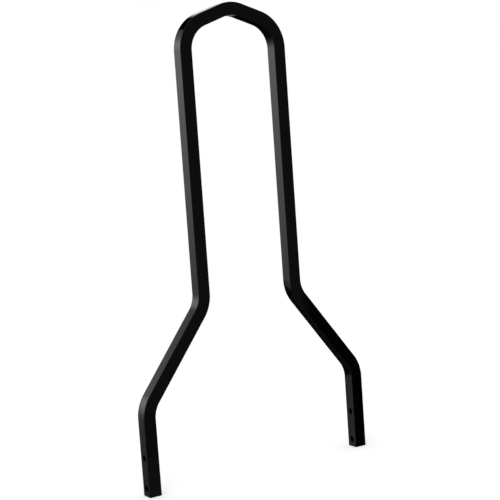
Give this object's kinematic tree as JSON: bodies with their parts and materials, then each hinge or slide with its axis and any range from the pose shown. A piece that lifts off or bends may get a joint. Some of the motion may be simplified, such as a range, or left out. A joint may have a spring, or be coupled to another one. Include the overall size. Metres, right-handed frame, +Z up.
{
  "type": "sissy bar",
  "caption": "Square steel bar bent into a tall narrow loop with a pointed crown and flared, cross-drilled feet, bolted upright behind a motorbike seat.",
  "frame": {"origin": "middle of the rectangle round the two foot ends, at their lowest plane", "axes": "+Z up along the legs to the crown, X across the loop from foot to foot, +Y to the rear of the bar, whose front face looks along -Y"},
  "size_m": [0.2626, 0.013, 0.4737],
  "materials": {
    "black_coat": "smooth gloss black coat on solid steel bar"
  },
  "bodies": {
    "root": {"sissy_bar": "black_coat"}
  },
  "joints": []
}
